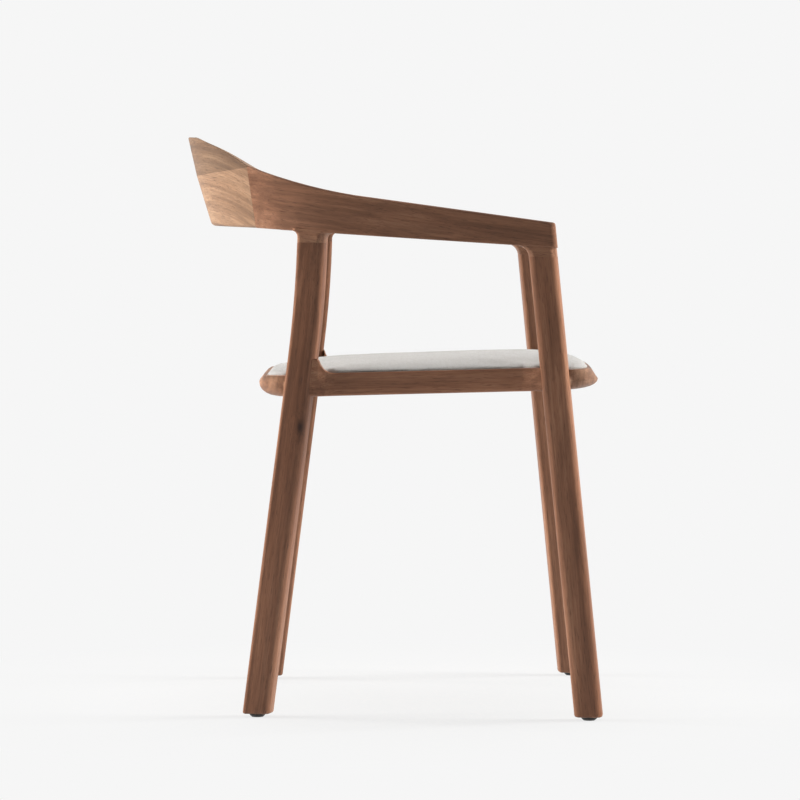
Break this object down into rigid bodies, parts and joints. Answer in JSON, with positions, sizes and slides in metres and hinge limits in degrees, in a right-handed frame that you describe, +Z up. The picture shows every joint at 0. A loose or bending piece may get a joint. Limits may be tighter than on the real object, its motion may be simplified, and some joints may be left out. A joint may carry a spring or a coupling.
{
  "type": "dining armchair",
  "caption": "Walnut dining armchair with raked legs, arms that sweep up into a faceted curved backrest, and an upholstered drop-in seat.",
  "frame": {"origin": "on the floor, below the middle of the chair's overall box", "axes": "+Z up; the sitter faces -Y; +X is the sitter's left"},
  "size_m": [0.5778, 0.5386, 0.745],
  "materials": {
    "walnut": "oiled walnut, satin",
    "beech": "bare beech",
    "plywood": "bare birch plywood",
    "seat_fabric": "woven wool mix, light heather grey",
    "foam": "open-cell seat foam",
    "steel": "zinc plated",
    "glide_nylon": "moulded charcoal nylon"
  },
  "bodies": {
    "root": {"front_leg_left": "walnut", "front_leg_right": "walnut", "rear_leg_left": "walnut", "rear_leg_right": "walnut", "arm_left": "walnut", "arm_right": "walnut", "backrest": "walnut", "front_rail": "walnut", "rear_rail": "walnut", "side_rail_left": "walnut", "side_rail_right": "walnut", "seat_panel": "plywood", "seat_foam": "foam", "seat_cover": "seat_fabric", "corner_block_front_left": "beech", "corner_block_front_right": "beech", "corner_block_rear_left": "beech", "corner_block_rear_right": "beech", "arm_tenon_front_left": "beech", "arm_tenon_front_right": "beech", "arm_tenon_rear_left": "beech", "arm_tenon_rear_right": "beech", "back_tenon_lower_left": "beech", "back_tenon_lower_right": "beech", "back_tenon_upper_left": "beech", "back_tenon_upper_right": "beech", "front_rail_tenon_left": "beech", "front_rail_tenon_right": "beech", "rear_rail_tenon_left": "beech", "rear_rail_tenon_right": "beech", "side_rail_front_tenon_left": "beech", "side_rail_front_tenon_right": "beech", "side_rail_rear_tenon_left": "beech", "side_rail_rear_tenon_right": "beech", "block_screw_front_rail_left": "steel", "block_screw_front_rail_right": "steel", "block_screw_front_side_left": "steel", "block_screw_front_side_right": "steel", "block_screw_rear_rail_left": "steel", "block_screw_rear_rail_right": "steel", "block_screw_rear_side_left": "steel", "block_screw_rear_side_right": "steel", "seat_screw_front_left": "steel", "seat_screw_front_right": "steel", "seat_screw_rear_left": "steel", "seat_screw_rear_right": "steel", "glide_front_left": "glide_nylon", "glide_front_right": "glide_nylon", "glide_rear_left": "glide_nylon", "glide_rear_right": "glide_nylon", "glide_nail_front_left": "steel", "glide_nail_front_right": "steel", "glide_nail_rear_left": "steel", "glide_nail_rear_right": "steel"}
  },
  "joints": []
}
